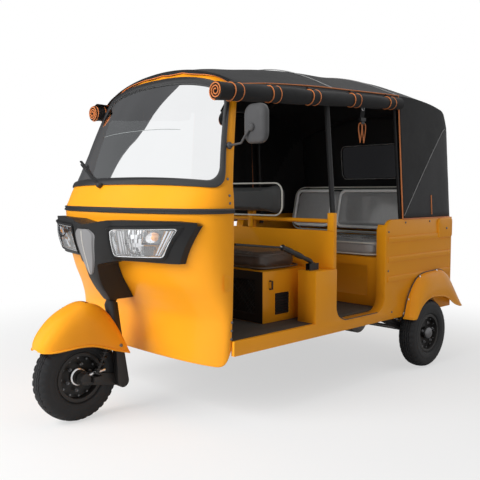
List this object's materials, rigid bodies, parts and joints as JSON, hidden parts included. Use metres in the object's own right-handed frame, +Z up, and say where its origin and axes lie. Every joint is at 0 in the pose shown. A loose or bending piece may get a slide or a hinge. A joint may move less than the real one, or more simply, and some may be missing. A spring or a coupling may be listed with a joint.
{
  "type": "passenger three-wheeler",
  "caption": "Electric passenger three-wheeler with a steered front wheel, a rounded nose with slanted headlamps, open doorways and a black canvas hood.",
  "frame": {"origin": "on the ground, at the middle of the overall length and of the overall width with the mirror, 59 mm to the left of the centre plane", "axes": "-Y forward, +X to the left of the driver, +Z up"},
  "size_m": [1.474, 2.6, 1.7409],
  "materials": {
    "yellow_paint": "gloss",
    "black_paint": "satin",
    "black_plastic": "satin",
    "grey_plastic": "satin",
    "rubber_trim": "matte",
    "floor_mat": "matte",
    "glass": "clear",
    "lamp_cover": "clear",
    "reflector": "polished",
    "seat_vinyl": "gloss",
    "red_lens": "gloss",
    "canvas": "matte",
    "window_film": "gloss",
    "cast_metal": "satin",
    "bright_steel": "satin",
    "tyre_rubber": "matte"
  },
  "bodies": {
    "chassis": {"chassis_frame": "black_paint", "floor_pan": "floor_mat", "front_cowl": "yellow_paint", "windscreen_frame": "yellow_paint", "belt_strip": "rubber_trim", "windscreen_glass": "glass", "windscreen_seal": "rubber_trim", "lamp_fascia": "black_plastic", "nose_panel": "grey_plastic", "headlamps": "reflector", "lamp_lenses": "lamp_cover", "wiper": "black_plastic", "dash_panel": "black_plastic", "side_panel_left": "yellow_paint", "side_panel_right": "yellow_paint", "partition": "yellow_paint", "driver_seat_box": "yellow_paint", "battery_pack": "black_plastic", "driver_seat": "seat_vinyl", "driver_backrest": "seat_vinyl", "rear_seat_base": "yellow_paint", "rear_seat": "seat_vinyl", "rear_backrest": "seat_vinyl", "tail_panel": "yellow_paint", "tail_lamps": "red_lens", "hood_roof": "canvas", "hood_rear": "canvas", "hood_back": "canvas", "rear_window": "window_film", "hood_frame": "black_paint", "curtain_roll_left": "canvas", "curtain_roll_right": "canvas", "side_curtain_right": "canvas", "mirror_unit": "black_plastic", "rear_fender_left": "yellow_paint", "rear_fender_right": "yellow_paint", "swing_arms": "black_paint", "rear_springs": "black_paint", "drive_unit": "cast_metal", "hand_lever": "black_paint", "tow_bracket": "black_paint"},
    "steer": {"fork": "black_paint", "link_arm": "bright_steel", "front_spring": "black_paint", "front_fender": "yellow_paint", "handlebar": "black_paint"},
    "front_wheel": {"front_tyre": "tyre_rubber", "front_rim": "black_paint"},
    "rear_wheel_left": {"rear_tyre_left": "tyre_rubber", "rear_rim_left": "black_paint"},
    "rear_wheel_right": {"rear_tyre_right": "tyre_rubber", "rear_rim_right": "black_paint"}
  },
  "joints": [
    {"name": "steer", "type": "hinge", "parent": "chassis", "child": "steer", "pos_m": [-0.059, -0.891, 0.54], "axis": [0, 0.4226, 0.9063], "range_deg": [-45, 45]},
    {"name": "front_spin", "type": "hinge", "parent": "steer", "child": "front_wheel", "pos_m": [-0.059, -1.097, 0.203], "axis": [1, 0, 0], "continuous": true},
    {"name": "rear_left_spin", "type": "hinge", "parent": "chassis", "child": "rear_wheel_left", "pos_m": [0.553, 0.893, 0.203], "axis": [1, 0, 0], "continuous": true},
    {"name": "rear_right_spin", "type": "hinge", "parent": "chassis", "child": "rear_wheel_right", "pos_m": [-0.671, 0.893, 0.203], "axis": [1, 0, 0], "continuous": true}
  ]
}
